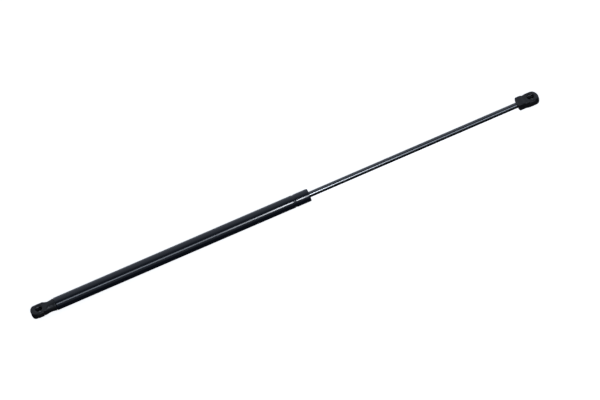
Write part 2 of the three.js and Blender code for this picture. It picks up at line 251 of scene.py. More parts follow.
def prism(span, outline):
    """A cutter: an outline of (y, z) points carried from one end of the span to the other."""
    count = len(outline)
    vertices = [(x * MM, y * MM, z * MM) for x in span for y, z in outline]
    sides = [[i, (i + 1) % count, count + (i + 1) % count, count + i] for i in range(count)]
    mesh = bpy.data.meshes.new("cutter")
    mesh.from_pydata(vertices, [], sides + [list(range(count))[::-1], list(range(count, 2 * count))])
    cutter = bpy.data.objects.new("cutter", mesh)
    bpy.context.collection.objects.link(cutter)
    return cutter


def circle(centre, radius, segments):
    angles = np.linspace(0, 2 * math.pi, segments, endpoint=False)
    return [(centre[0] + radius * math.cos(a), centre[1] + radius * math.sin(a)) for a in angles]


# ---- Surfaces from a distance field --------------------------------------------------------
LEAST_SLOPE = 0.05  # squared, so that a point in a flat part of the field isn't thrown far


def surface_net(field, low, high, cell):
    """(vertices, quads) of the surface where field(points) changes sign, inside being negative."""
    axes = [np.arange(a, b + cell, cell) for a, b in zip(low, high)]
    grid = np.stack(np.meshgrid(*axes, indexing="ij"), axis=-1)
    value = field(grid)
    total = np.zeros([len(axis) - 1 for axis in axes] + [3])
    count = np.zeros(total.shape[:3])
    crossings = []
    for axis in range(3):
        near = np.moveaxis(value, axis, 0)[:-1]
        far = np.moveaxis(value, axis, 0)[1:]
        crossed = (near < 0) != (far < 0)
        where = np.argwhere(crossed)
        share = (near / np.where(crossed, near - far, 1))[crossed]
        index = np.empty_like(where)
        others = [other for other in range(3) if other != axis]
        index[:, axis] = where[:, 0]
        index[:, others[0]], index[:, others[1]] = where[:, 1], where[:, 2]
        point = np.array(low) + index * cell
        point[:, axis] += share * cell
        crossings.append((axis, others, index, (near < 0)[crossed]))
        for first in (0, 1):
            for second in (0, 1):
                box = index.copy()
                box[:, others[0]] -= first
                box[:, others[1]] -= second
                np.add.at(total, tuple(box.T), point)
                np.add.at(count, tuple(box.T), 1)
    used = np.argwhere(count > 0)
    number = np.full(count.shape, -1)
    number[tuple(used.T)] = np.arange(len(used))
    vertices = total[tuple(used.T)] / count[tuple(used.T)][:, None]
    quads = []
    for axis, others, index, leaving in crossings:
        ring = []
        for first, second in ((1, 1), (0, 1), (0, 0), (1, 0)):
            box = index.copy()
            box[:, others[0]] -= first
            box[:, others[1]] -= second
            ring.append(number[tuple(box.T)])
        ring = np.stack(ring, axis=1)
        outward = leaving if axis != 1 else ~leaving
        ring[~outward] = ring[~outward][:, ::-1]
        quads.append(ring)
    quads = np.concatenate(quads)
    return settle(field, relaxed(vertices, quads), cell), quads


def relaxed(vertices, quads, rounds=2):
    """The points evened out: each goes halfway towards the middle of the points it's joined to."""
    for _ in range(rounds):
        total, count = np.zeros(vertices.shape), np.zeros(len(vertices))
        for near, far in ((0, 1), (1, 2), (2, 3), (3, 0)):
            for one, two in ((near, far), (far, near)):
                np.add.at(total, quads[:, one], vertices[quads[:, two]])
                np.add.at(count, quads[:, one], 1)
        vertices = (vertices + total / count[:, None]) / 2
    return vertices


def settle(field, vertices, cell, rounds=3):
    """Moves points onto the field's zero surface, each by less than half a cell."""
    step = cell / 20
    start = vertices.copy()
    for _ in range(rounds):
        rises = [field(vertices + reach) - field(vertices - reach) for reach in step * np.eye(3)]
        slope = np.stack(rises, axis=-1) / (2 * step)
        size = np.maximum((slope**2).sum(-1), LEAST_SLOPE)
        vertices = vertices - (field(vertices) / size)[:, None] * slope
        vertices = start + np.clip(vertices - start, -cell / 2, cell / 2)
    return vertices


def smooth_max(a, b, radius):
    """Where a and b meet on the outside of both, the edge is rounded by about the radius."""
    blend = np.maximum(radius - np.abs(a - b), 0) / radius
    return np.maximum(a, b) + blend**2 * radius / 4


def smooth_curve(x, xs, ys):
    """A smooth curve through the points, with no overshoot between them."""
    xs, ys = np.array(xs, float), np.array(ys, float)
    steps = np.diff(ys) / np.diff(xs)
    slopes = np.zeros(len(xs))
    same = steps[:-1] * steps[1:] > 0
    slopes[1:-1][same] = (2 * steps[:-1] * steps[1:] / np.where(same, steps[:-1] + steps[1:], 1))[same]
    x = np.clip(x, xs[0], xs[-1])
    piece = np.clip(np.searchsorted(xs, x, side="right") - 1, 0, len(xs) - 2)
    width = xs[piece + 1] - xs[piece]
    t = (x - xs[piece]) / width
    rise = (1 + 2 * t) * (1 - t) ** 2 * ys[piece] + t * t * (3 - 2 * t) * ys[piece + 1]
    return rise + width * t * (1 - t) * ((1 - t) * slopes[piece] - t * slopes[piece + 1])


# ---- Ball sockets --------------------------------------------------------------------------
# Each is worked out in its own frame: the ball seat at the origin and the strut along +X.
# A section is (x, half width, mouth side height, back height, mouth side radius, back radius).
SEAT_R = 5.05
MOUTH_R = 6.7  # of the countersink
MOUTH_DEPTH = 0.8
STEEL = 0.7  # the clips' thickness
LIP_TOP = TUBE_CLIP.high.z
LIP_REACH = 3.75  # from the middle of the mouth to each lip's end
CLIP_BEND_R = 0.75  # of the bends beside the mouth, in the middle of the steel
TUBE_CLIP_BACK_R = 6.8
ROD_CLIP_BACK_R = 3
CLIP_TRAVEL = 3.0
LEVER_NOTCH = ((3, 6.5), 2.5, 1.2)  # (start, end) along the strut, half width, depth
NOSE_EASE = 1.6  # how far each kind of edge is rounded
END_EASE = 0.6
SEAT_EASE = 0.3
CUT_EASE = 0.25
CELL = 0.2  # size of the grid's cells
HALF_HEIGHT = 9  # of the grid, enough for either head


class Head:
    """A socket's moulding, as a field of distances from its surface. Seen from the mouth, an arc from its
    tip at -nose meets its sides at -cheek, half its width from the middle. Bores are (start, radius)."""

    def __init__(self, nose, cheek, half, mouth, end, sections, bores):
        self.nose, self.half, self.mouth, self.end = nose, half, mouth, end
        sagitta = nose - cheek
        self.nose_r = (half**2 + sagitta**2) / (2 * sagitta)
        self.sections = list(zip(*sections))
        self.bores = bores

    def across(self, x, y, z):
        """Distance from the outline of the section at x."""
        half, top, back, top_r, back_r = (
            smooth_curve(x, self.sections[0], column) for column in self.sections[1:]
        )
        middle, height = (top - back) / 2, (top + back) / 2
        radius = np.minimum(np.where(z > middle, top_r, back_r), np.minimum(height, half))
        side = np.abs(y) - half + radius
        rise = np.abs(z - middle) - height + radius
        outside = np.hypot(np.maximum(side, 0), np.maximum(rise, 0))
        return outside + np.minimum(np.maximum(side, rise), 0) - radius

    def field(self, points):
        x, y, z = points[..., 0], points[..., 1], points[..., 2]
        skin = self.across(x, y, z)
        centre = self.nose_r - self.nose
        nose = np.where(x < centre, np.hypot(x - centre, y), np.abs(y)) - self.nose_r
        solid = smooth_max(smooth_max(skin, nose, NOSE_EASE), x - self.end, END_EASE)
        for start, radius in self.bores:
            solid = smooth_max(solid, np.minimum(x - start, radius - np.hypot(y, z)), CUT_EASE)
        solid = smooth_max(solid, -self.hollow(x, y, z), SEAT_EASE)
        return smooth_max(solid, -self.recess(x, y, z, skin), CUT_EASE)

    def hollow(self, x, y, z):
        """The ball's seat, open upwards and countersunk."""
        radius = np.hypot(x, y)
        seat = np.hypot(radius, np.minimum(z, 0)) - SEAT_R
        width = MOUTH_R - SEAT_R
        slant = math.hypot(width, MOUTH_DEPTH)
        cone = ((radius - MOUTH_R) * MOUTH_DEPTH - (z - self.mouth) * width) / slant
        return -smooth_max(-seat, -cone, SEAT_EASE)

    def recess(self, x, y, z, skin):
        """Where the clip's band lies, with the windows for its lips and a notch to lever it by."""
        along = np.abs(x) - (TUBE_CLIP.x1 - TUBE_CLIP.x0) / 2 - CLEAR
        below = z - LIP_TOP - CLEAR
        band = np.maximum(np.maximum(along, below), -skin - STEEL - CLEAR)
        floor = LIP_TOP - STEEL - CLIP_TRAVEL - CLEAR
        window = np.maximum(np.maximum(along, below), floor - z)
        (start, end), half, depth = LEVER_NOTCH
        notch = smooth_max(np.maximum(start - x, x - end), np.abs(y) - half, 1)
        lever = np.maximum(np.maximum(notch, -skin - depth), z)
        return np.minimum(np.minimum(band, window), lever)


TUBE_HEAD = Head(
    nose=11.9,
    cheek=6.9,
    half=8.7,
    mouth=5.65,
    end=TUBE_SOCKET.x1 - TUBE_SEAT,
    sections=[
        (-12.5, 8.7, 5.65, 2.8, 1, 2.6),
        (-11.4, 8.7, 5.65, 4.3, 1, 4),
        (-9.6, 8.7, 5.65, 5.8, 1, 5.4),
        (-7.4, 8.7, 5.65, 6.7, 1, 6.3),
        (-5, 8.7, 5.65, 7, 1, 6.8),
        (7.2, 8.7, 5.65, 7, 1, 6.8),
        (8.4, 8.6, 5.8, 7.05, 1.8, 6.85),
        (9.8, 8.3, 6.3, 7.2, 3.6, 7),
        (11.4, 7.95, 6.95, 7.4, 5.4, 7.2),
        (13, 7.7, 7.45, 7.6, 7, 7.4),
        (14.8, 7.65, 7.65, 7.65, 7.65, 7.65),
        (17.2, 7.8, 7.8, 7.8, 7.8, 7.8),
        (19.4, 8.05, 8.05, 8.05, 8.05, 8.05),
        (20.9, 8.4, 8.4, 8.4, 8.4, 8.4),
        (22.4, 8.55, 8.55, 8.55, 8.55, 8.55),
        (24, 8.55, 8.55, 8.55, 8.55, 8.55),
    ],
    bores=[(PLUG.x0 - TUBE_SEAT - CLEAR, M8["r"] + FIT)],
)

ROD_HEAD = Head(
    nose=10.5,
    cheek=5.2,
    half=8.8,
    mouth=5.7,
    end=ROD_SEAT - ROD_SOCKET.x0,
    sections=[
        (-11, 8.8, 2.6, 3.5, 1.4, 2.3),
        (-9.4, 8.8, 3.3, 4.9, 1.3, 2.7),
        (-7.4, 8.8, 4.2, 5.9, 1.2, 3),
        (-4.9, 8.8, 5, 6.6, 1.1, 3),
        (-2.6, 8.8, 5.5, 6.7, 1, 3),
        (-0.8, 8.8, 5.7, 6.7, 1, 3),
        (5.4, 8.8, 5.7, 6.7, 1, 3),
        (7.3, 8.75, 5.4, 6.2, 1, 2.5),
        (9.4, 8.55, 5.1, 5.3, 1, 1.9),
        (11, 8.45, 5.7, 4.7, 1.1, 1.4),
        (12.7, 8.45, 6.6, 4.55, 1.2, 1.2),
        (13.6, 8.45, 6.85, 4.55, 1.2, 1.2),
        (19.7, 8.45, 6.85, 4.55, 1.2, 1.2),
        (21.2, 6.9, 5.3, 3.3, 0.9, 0.9),
        (22.2, 6.9, 5.3, 3.3, 0.9, 0.9),
    ],
    bores=[(ROD_SEAT - ROD.x1 - CLEAR, M6["r"] + FIT), (19.7, ROD_R + FIT)],
)


def socket(node, head, seat, facing, material):
    """A head at its seat, with the strut running off towards +X (facing 1) or towards -X (facing -1)."""
    margin = 3 * CELL
    low = (-head.nose - margin, -head.half - margin, -HALF_HEIGHT - margin)
    high = (head.end + margin, head.half + margin, HALF_HEIGHT + margin)
    vertices, quads = surface_net(head.field, low, high, CELL)
    vertices = vertices * (facing, facing, 1) + (seat, 0, 0)
    finished(node, vertices, quads, material, sharp=180)


def clip(node, extent, back_r, material):
    """A band bent round the back of a head, its ends turned in across the mouth as lips."""
    middle = (extent.x0 + extent.x1) / 2
    width = (extent.x1 - extent.x0) / 2
    side, top, back = extent.high.y - STEEL / 2, extent.high.z - STEEL / 2, extent.low.z + STEEL / 2
    half_path = [(LIP_REACH, top), (side, top, CLIP_BEND_R), (side, back, back_r - STEEL / 2)]
    path = half_path + [(-point[0], *point[1:]) for point in half_path[::-1]]
    line = [Vector(point) for point in eased(path, closed=False, steps=14)]
    frames = []
    for number, point in enumerate(line):
        ahead = line[min(number + 1, len(line) - 1)] - line[max(number - 1, 0)]
        across = Vector((-ahead.y, ahead.x)).normalized()
        frames.append(((middle, point.x, point.y), (1, 0, 0), (0, across.x, across.y)))
    swept(node, frames, bar(width, STEEL / 2, 0.18), material)


# ---- Turned pieces -------------------------------------------------------------------------
GROOVE_X = SUPPORT.x0 - 2.5
GROOVE_HALF = 2.2
GROOVE_DEPTH = 0.55
BASE_HOLE_R = 6.6  # in the tube's rolled-over rims
ROD_HOLE_R = 5.75
BASE_RIM_R = 1.6  # of the rims' outer corners
ROD_RIM_R = 1.1
CHAMFER = 0.6  # at a thread's end
HUB_R = 6.3  # of the plug, where it shows between the tube and its socket
PLUG_GROOVE = (2.2, 4.8, 5.9)  # (start, end) from the plug's outer face, and the radius of its floor
GUIDE_NOSE_R = 5.45
ROD_SINK = 1.5  # how far the full rod goes into its socket
ROD_SHOULDER = FRONT_WASHER.x1 + FIT
PILOT_R = 2.75  # of the rod's stepped-down inner end
RIVET_R = 4.1
PISTON_GROOVE = (6.2, 2.8, 5.9)  # (start, end) back from the piston's front, and the radius of its floor
PORTS = 3
PORT_CIRCLE_R = 4.3
PORT_R = 0.8
RING_INNER_R = 6.1
RING_SPLIT = 0.09  # half the gap, radians
NOTCH_HALF = 0.4  # half the width of the orifice disc's notch


def groove(radius, steps=24):
    """The rolled groove, in a wall of the given radius."""
    across = np.linspace(-1, 1, steps + 1)
    depth = GROOVE_DEPTH * (1 + np.cos(math.pi * across)) / 2
    return [(GROOVE_X + GROOVE_HALF * a, radius - d) for a, d in zip(across, depth)]


def stretch(start, stop, radius, pieces):
    """Points along a long straight side, so that its faces don't get too long."""
    return [(x, radius) for x in np.linspace(start, stop, pieces + 1)[1:-1]]


def pressure_tube(material):
    outline = [
        (TUBE.x0, BASE_HOLE_R, 0.3),
        (TUBE.x0, TUBE.r, BASE_RIM_R),
        *stretch(TUBE.x0, GROOVE_X, TUBE.r, 24),
        *groove(TUBE.r),
        (TUBE.x1, TUBE.r, ROD_RIM_R),
        (TUBE.x1, ROD_HOLE_R, 0.3),
        (TUBE.x1 - WALL, ROD_HOLE_R, 0.3),
        (TUBE.x1 - WALL, BORE_R, 0.2),
        *groove(BORE_R)[::-1],
        (TUBE.x0 + WALL, BORE_R, 0.2),
        (TUBE.x0 + WALL, BASE_HOLE_R, 0.3),
    ]
    turned("pressure_tube", eased(outline, steps=10), material, TUBE_SEGMENTS)


def base_plug(material):
    face = TUBE.x0 + WALL + CLEAR
    collar = TUBE_SOCKET.x1 + CLEAR
    start, end, floor_r = PLUG_GROOVE
    points, ripple = thread((PLUG.x0 + CHAMFER, collar - 1.5), M8["pitch"], M8["depth"])
    outline = [
        (PLUG.x0, 0),
        (PLUG.x0, M8["r"] - CHAMFER, 0.15),
        *[(x, M8["r"]) for x in points],
        (collar, M8["r"]),
        (collar, HUB_R, 0.3),
        (face, HUB_R),
        (face, PLUG.r, 0.3),
        (face + start, PLUG.r, 0.2),
        (face + start, floor_r, 0.2),
        (face + end, floor_r, 0.2),
        (face + end, PLUG.r, 0.2),
        (PLUG.x1, PLUG.r, 0.6),
        (PLUG.x1, 0),
    ]
    turned("base_plug", eased(outline, closed=False), material, ripple=ripple, closed=False)


def piston_rod(material):
    full = ROD_SOCKET.x0 + ROD_SINK - CLEAR
    head = REAR_WASHER.x0 - FIT
    relief = M6["r"] - 0.3
    points, ripple = thread((full + 0.8, ROD.x1 - CHAMFER), M6["pitch"], M6["depth"])
    outline = [
        (ROD.x0, 0),
        (ROD.x0, RIVET_R - 1, 1.2),
        (head, RIVET_R, 0.4),
        (head, PILOT_R),
        (ROD_SHOULDER, PILOT_R),
        (ROD_SHOULDER, ROD_R, 0.3),
        *stretch(ROD_SHOULDER, full, ROD_R, 24),
        (full, ROD_R, 0.3),
        (full, relief),
        (full + 0.7, relief),
        *[(x, M6["r"]) for x in points],
        (ROD.x1, M6["r"] - CHAMFER, 0.1),
        (ROD.x1, 0),
    ]
    turned("piston_rod", eased(outline, closed=False), material, ripple=ripple, closed=False)


def base_seal_ring(material):
    centre = (PLUG_SEAL.x0 + PLUG_SEAL.x1) / 2
    radius = (PLUG_SEAL.x1 - PLUG_SEAL.x0) / 2
    outline = circle((centre, PLUG_SEAL.r - radius), radius, 24)[::-1]
    turned("base_seal_ring", outline, material)


def rod_seal(material):
    """A lip on the rod and one on the bore, with a pocket between them for the gas to press into."""
    lip = ROD_R + SLIDE_FIT
    start, stop, outer = SEAL.x0, SEAL.x1, SEAL.r
    pocket, pocket_inner, pocket_outer = start + 2.2, 5.5, 6.5
    outline = [
        (start, lip + 0.7, 0.2),
        (start, pocket_inner, 0.3),
        (pocket, pocket_inner, 0.4),
        (pocket, pocket_outer, 0.4),
        (start, pocket_outer, 0.3),
        (start, outer, 0.3),
        (stop, outer, 0.3),
        (stop, lip + 0.5, 0.3),
        (start + 3.4, lip + 0.3, 0.3),
        (start + 1.2, lip, 0.1),
    ]
    turned("rod_seal", eased(outline), material)


def rod_guide(material):
    pocket, mouth = BUSH.r + FIT, ROD_R + CLEAR
    shoulder = TUBE.x1 - WALL - CLEAR
    outline = [
        (GUIDE.x0, pocket, 0.3),
        (GUIDE.x0, GUIDE.r, 0.3),
        (shoulder, GUIDE.r, 0.3),
        (shoulder, GUIDE_NOSE_R, 0.1),
        (GUIDE.x1, GUIDE_NOSE_R, 0.2),
        (GUIDE.x1, mouth, 0.4),
        (shoulder - CLEAR, mouth, 0.05),
        (shoulder - CLEAR, pocket, 0.05),
    ]
    turned("rod_guide", eased(outline), material)


def piston(material):
    back, front, outer, bore = PISTON.x0, PISTON.x1, PISTON.r, PILOT_R + FIT
    start, end, floor_r = PISTON_GROOVE
    outline = [
        (back, bore, 0.2),
        (back, outer, 0.5),
        (front - start, outer, 0.2),
        (front - start, floor_r, 0.2),
        (front - end, floor_r, 0.2),
        (front - end, outer, 0.2),
        (front, outer, 0.5),
        (front, bore, 0.2),
    ]
    body = turned("piston", eased(outline), material)
    ports = []
    for number in range(PORTS):
        angle = 2 * math.pi * number / PORTS
        centre = (PORT_CIRCLE_R * math.sin(angle), PORT_CIRCLE_R * math.cos(angle))
        ports.append(prism((back - 1, front + 1), circle(centre, PORT_R, 30)))
    carve(body, ports)


def piston_ring(material):
    """Split, so that it can be sprung into its groove."""
    middle, half = (RING_INNER_R + RING.r) / 2, (RING.r - RING_INNER_R) / 2
    width = (RING.x1 - RING.x0) / 2
    frames = []
    for angle in np.linspace(-math.pi / 2 + RING_SPLIT, 1.5 * math.pi - RING_SPLIT, 120):
        outward = (0, math.cos(angle), math.sin(angle))
        origin = ((RING.x0 + RING.x1) / 2, middle * outward[1], middle * outward[2])
        frames.append((origin, (-1, 0, 0), outward))
    swept("piston_ring", frames, bar(width, half, 0.15), material)


def orifice_disc(material):
    """Its notch leaves a little of one port open."""
    disc = sleeve("orifice_disc", DISC, PILOT_R + FIT, material, 0.1)
    half, floor_r, past_rim = NOTCH_HALF, PORT_CIRCLE_R, DISC.r + 1
    notch = [(-half, floor_r), (half, floor_r), (half, past_rim), (-half, past_rim)]
    carve(disc, [prism((DISC.x0 - 1, DISC.x1 + 1), notch)])


# ---- Materials -----------------------------------------------------------------------------
class Finish:
    """A material built from nodes around one Principled shader. The colour and roughness that it starts
    with stand wherever the nodes aren't read."""

    def __init__(self, name, color, roughness, metallic=0.0):
        self.material = bpy.data.materials.new(name)
        self.material.use_nodes = True
        self.tree = self.material.node_tree
        self.shader = self.tree.nodes["Principled BSDF"]
        self.place = self.add("ShaderNodeTexCoord").outputs["Object"]
        self.set("Base Color", (*color, 1))
        self.set("Roughness", roughness)
        self.set("Metallic", metallic)

    def add(self, kind, inputs=None, **settings):
        node = self.tree.nodes.new(kind)
        for name, value in settings.items():
            setattr(node, name, value)
        for name, value in (inputs or {}).items():
            self.feed(node.inputs[name], value)
        return node

    def feed(self, socket, value):
        if isinstance(value, bpy.types.NodeSocket):
            self.tree.links.new(value, socket)
        else:
            socket.default_value = value

    def set(self, name, value):
        self.feed(self.shader.inputs[name], value)

    def stretched(self, scale):
        """The place on the piece, scaled differently along each axis."""
        return self.add("ShaderNodeMapping", {"Vector": self.place, "Scale": scale}).outputs["Vector"]

    def noise(self, scale, detail=2.0, vector=None, roughness=0.5):
        inputs = {"Vector": vector or self.place, "Scale": scale, "Detail": detail, "Roughness": roughness}
        return self.add("ShaderNodeTexNoise", inputs).outputs["Fac"]

    def span(self, value, low, high, to_low, to_high):
        """A value stretched from one range to another, and held inside it."""
        inputs = {"Value": value, "From Min": low, "From Max": high, "To Min": to_low, "To Max": to_high}
        return self.add("ShaderNodeMapRange", inputs).outputs["Result"]

    def math(self, operation, first, second):
        node = self.add("ShaderNodeMath", operation=operation)
        self.feed(node.inputs[0], first)
        self.feed(node.inputs[1], second)
        return node.outputs["Value"]

    def mix(self, share, first, second):
        node = self.add("ShaderNodeMix", {"Factor": share}, data_type="RGBA")
        self.feed(node.inputs["A"], first if isinstance(first, bpy.types.NodeSocket) else (*first, 1))
        self.feed(node.inputs["B"], second if isinstance(second, bpy.types.NodeSocket) else (*second, 1))
        return node.outputs["Result"]

    def bump(self, height, depth_mm, onto=None):
        inputs = {"Height": height, "Distance": depth_mm * MM, "Strength": 1.0}
        if onto:
            inputs["Normal"] = onto
        return self.add("ShaderNodeBump", inputs).outputs["Normal"]

    def edges(self, low, high):
        """1 on outer edges that are more sharply curved than the high value, 0 below the low one."""
        curvature = self.add("ShaderNodeAttribute", attribute_name="curvature").outputs["Fac"]
        return self.span(curvature, low, high, 0.0, 1.0)


def black_paint():
    """Gloss black with a faint blue cast, a slight orange peel and fine rub marks along the tube."""
    finish = Finish("black_paint", (0.004, 0.005, 0.007), 0.3)
    cloud = finish.noise(60, 3)
    finish.set("Base Color", finish.mix(cloud, (0.0028, 0.0044, 0.0088), (0.0046, 0.0066, 0.012)))
    finish.set("Specular IOR Level", 0.2)
    rubs = finish.noise(1, 4, finish.stretched((40, 2500, 2500)), 0.6)
    finish.set("Roughness", finish.span(rubs, 0.35, 0.75, 0.2, 0.34))
    peel = finish.noise(700, 1.5)
    ripple = finish.noise(160, 1)
    fine = finish.bump(peel, 0.006)
    finish.set("Normal", finish.bump(ripple, 0.02, fine))
    finish.set("Coat Weight", 1.0)
    finish.set("Coat Roughness", finish.span(rubs, 0.3, 0.8, 0.05, 0.11))
    return finish.material


def rod_steel():
    """Dark nitrided steel, ground round and polished: fine rings and a few marks along it."""
    finish = Finish("rod_steel", (0.13, 0.14, 0.15), 0.15, 1.0)
    rings = finish.noise(1, 5, finish.stretched((9000, 60, 60)), 0.7)
    tint = finish.noise(35, 3)
    finish.set("Base Color", finish.mix(tint, (0.118, 0.122, 0.127), (0.158, 0.163, 0.169)))
    finish.set("Roughness", finish.span(rings, 0.3, 0.7, 0.11, 0.2))
    finish.set("Normal", finish.bump(rings, 0.0008))
    return finish.material


def turned_steel(finish):
    """Gives a finish the rings that a turning tool leaves, and returns its colour, a little stained."""
    rings = finish.noise(1, 4, finish.stretched((5000, 250, 250)), 0.6)
    finish.set("Roughness", finish.span(rings, 0.3, 0.7, 0.28, 0.45))
    finish.set("Normal", finish.bump(rings, 0.004))
    return finish.mix(finish.noise(220, 4), (0.34, 0.335, 0.33), (0.5, 0.5, 0.51))


def plain_steel():
    finish = Finish("plain_steel", (0.45, 0.45, 0.46), 0.35, 1.0)
    finish.set("Base Color", turned_steel(finish))
    return finish.material


def plug_steel(hub):
    """Bare steel, painted black along the hub that shows between the tube and its socket."""
    finish = Finish("plug_steel", (0.45, 0.45, 0.46), 0.35, 1.0)
    x = finish.add("ShaderNodeSeparateXYZ", {"Vector": finish.place}).outputs["X"]
    after_start = finish.span(x, (hub[0] - 0.1) * MM, hub[0] * MM, 0.0, 1.0)
    before_end = finish.span(x, hub[1] * MM, (hub[1] + 0.1) * MM, 1.0, 0.0)
    painted = finish.math("MULTIPLY", after_start, before_end)
    finish.set("Base Color", finish.mix(painted, turned_steel(finish), (0.01, 0.0115, 0.015)))
    finish.set("Metallic", finish.math("SUBTRACT", 1.0, painted))
    return finish.material


def clip_steel():
    """Blackened spring steel: rolled grain along the band, and lips rubbed bright where they were cut
    off and where balls have been pushed between them."""
    finish = Finish("clip_steel", (0.05, 0.05, 0.053), 0.4, 0.85)
    place = finish.add("ShaderNodeSeparateXYZ", {"Vector": finish.place})
    from_middle = finish.math("ABSOLUTE", place.outputs["Y"], 0.0)
    ragged = finish.math("MULTIPLY", finish.noise(1200, 3), 0.5 * MM)
    edge = finish.math("ADD", from_middle, ragged)
    wear_and_sheen = finish.span(edge, (LIP_REACH + 0.45) * MM, (LIP_REACH + 0.85) * MM, 1.0, 0.0)
    lips = finish.span(place.outputs["Z"], 0.0, 1.0 * MM, 0.0, 1.0)
    bright = finish.math("MULTIPLY", wear_and_sheen, lips)
    grain = finish.noise(1, 4, finish.stretched((6000, 500, 500)), 0.6)
    patch = finish.noise(500, 3)
    black = finish.mix(patch, (0.035, 0.035, 0.037), (0.065, 0.065, 0.07))
    finish.set("Base Color", finish.mix(bright, black, (0.75, 0.75, 0.74)))
    finish.set("Metallic", finish.span(bright, 0.0, 1.0, 0.8, 1.0))
    finish.set("Roughness", finish.span(grain, 0.3, 0.7, 0.32, 0.5))
    finish.set("Normal", finish.bump(grain, 0.004))
    return finish.material


def moulded(name, dark, light, grain_mm, roughness):
    """Moulded plastic: a fine spark-eroded grain, flow marks, and outer edges painted lighter, partly as
    rubbing wear and partly as a painted highlight along them.
    """
    finish = Finish(name, dark, sum(roughness) / 2)
    grain = finish.noise(1 / (grain_mm * MM), 3, roughness=0.6)
    flow = finish.noise(180, 3)
    # Lighter base colour on sharply curved outer edges: partly rubbing wear, partly a painted highlight where
    # the rounded edges catch the light.
    wear_and_sheen = finish.edges(0.2, 0.7)
    body = finish.mix(flow, dark, light)
    finish.set("Base Color", finish.mix(wear_and_sheen, body, tuple(1.5 * c for c in light)))
    finish.set("Roughness", finish.span(flow, 0.3, 0.7, *roughness))
    waves = finish.bump(finish.noise(260, 2), 0.02)
    finish.set("Normal", finish.bump(grain, 0.02, waves))
    finish.set("Specular IOR Level", 0.45)
    return finish.material


def rubber():
    """Black seal rubber: soft sheen, a trace of oil and fine moulding marks."""
    finish = Finish("rubber", (0.012, 0.012, 0.0125), 0.6)
    oil = finish.noise(400, 3)
    finish.set("Base Color", finish.mix(oil, (0.01, 0.01, 0.01), (0.018, 0.018, 0.0185)))
    finish.set("Roughness", finish.span(oil, 0.35, 0.65, 0.4, 0.75))
    finish.set("Normal", finish.bump(finish.noise(3000, 2), 0.008))
    return finish.material


def bronze():
    """Bearing bush: bronze with a mottled dry lining."""
    finish = Finish("bronze", (0.5, 0.3, 0.13), 0.4, 1.0)
    mottle = finish.noise(1500, 4)
    finish.set("Base Color", finish.mix(mottle, (0.32, 0.2, 0.1), (0.55, 0.36, 0.17)))
    finish.set("Roughness", finish.span(mottle, 0.3, 0.7, 0.3, 0.55))
    finish.set("Normal", finish.bump(mottle, 0.006))
    return finish.material


# ---- Pieces --------------------------------------------------------------------------------
PAINT = black_paint()
PLAIN_STEEL = plain_steel()
NYLON = moulded("socket_nylon", (0.0075, 0.0078, 0.0092), (0.0115, 0.0118, 0.0138), 0.22, (0.33, 0.45))
DARK_PLASTIC = moulded("guide_plastic", (0.014, 0.014, 0.015), (0.022, 0.022, 0.023), 0.15, (0.4, 0.55))
PALE_PLASTIC = moulded("ring_plastic", (0.55, 0.51, 0.42), (0.62, 0.58, 0.48), 0.15, (0.45, 0.6))
RUBBER = rubber()
CLIP_STEEL = clip_steel()

pressure_tube(PAINT)
base_plug(plug_steel((TUBE_SOCKET.x1, TUBE.x0 + WALL)))
base_seal_ring(RUBBER)
sleeve("seal_support_ring", SUPPORT, ROD_R + 0.4, PLAIN_STEEL)
rod_seal(RUBBER)
rod_guide(DARK_PLASTIC)
sleeve("guide_bush", BUSH, ROD_R + SLIDE_FIT, bronze(), 0.3)
piston_rod(rod_steel())
sleeve("piston_front_washer", FRONT_WASHER, PILOT_R + FIT, PLAIN_STEEL)
piston(DARK_PLASTIC)
piston_ring(PALE_PLASTIC)
orifice_disc(PLAIN_STEEL)
sleeve("piston_rear_washer", REAR_WASHER, PILOT_R + FIT, PLAIN_STEEL)
socket("tube_socket", TUBE_HEAD, TUBE_SEAT, 1, NYLON)
socket("rod_socket", ROD_HEAD, ROD_SEAT, -1, NYLON)
clip("tube_socket_clip", TUBE_CLIP, TUBE_CLIP_BACK_R, CLIP_STEEL)
clip("rod_socket_clip", ROD_CLIP, ROD_CLIP_BACK_R, CLIP_STEEL)


# ---- Studio --------------------------------------------------------------------------------
ELEVATION = 46  # of the camera above the floor, degrees
TURN = 4  # how far the rod's end is swung away from the camera
RISE = 23.33  # of the strut across the picture
SPACING_SHARE = 0.8925  # the ball spacing's share of the picture's width
OFFSET = (-0.0236, -0.0080)  # the strut's middle, from the picture's, as shares of its width
CAMERA_AWAY = 12.0
SENSOR = 36.0  # millimetres, as a camera takes it
CENTRE = Vector(((TUBE_SEAT + ROD_SEAT) / 2 * MM, 0, 0))
FLOOR = (TUBE_CLIP.low.z - CLIP_TRAVEL - 0.2) * MM  # low enough for a clip that has been levered back
FLOOR_HALF = 6.0
GLOW = [  # what reflections meet: (degrees up from the front and over the top, brightness)
    (-168, 0.45),
    (-150, 0.02),
    (-14, 0.02),
    (0, 0.2),
    (20, 0.22),
    (30, 0.05),
    (70, 0.06),
    (92, 0.3),
    (112, 0.48),
    (168, 0.5),
]
GLOW_TINT = (0.88, 0.98, 1.16)
LIGHT_RISE = math.radians(38)  # of the strip light and the window, above the floor
STRIP_SIDEWAYS = 0.1
STRIP_AWAY = 1.6
STRIP_SIZE = (1.7, 0.4)
STRIP_POWER = 7.5
STRIP_TINT = (0.84, 0.95, 1.12)
WINDOW_AWAY = 0.9
WINDOW_HEIGHT = 0.23
WINDOW_TINT = (0.94, 0.98, 1.04)
WINDOW = [  # panes, each inside the last: (where its reflection starts and stops from CENTRE, radiance)
    (-0.0925, 0.1675, 3),
    (-0.0525, 0.1475, 3),
    (-0.0275, 0.0525, 11),
]


def standing(place, right, up, back):
    """The matrix of an object at a place, with its axes turned these ways."""
    rows = [(right[axis], up[axis], back[axis], place[axis]) for axis in range(3)]
    return Matrix([*rows, (0, 0, 0, 1)])


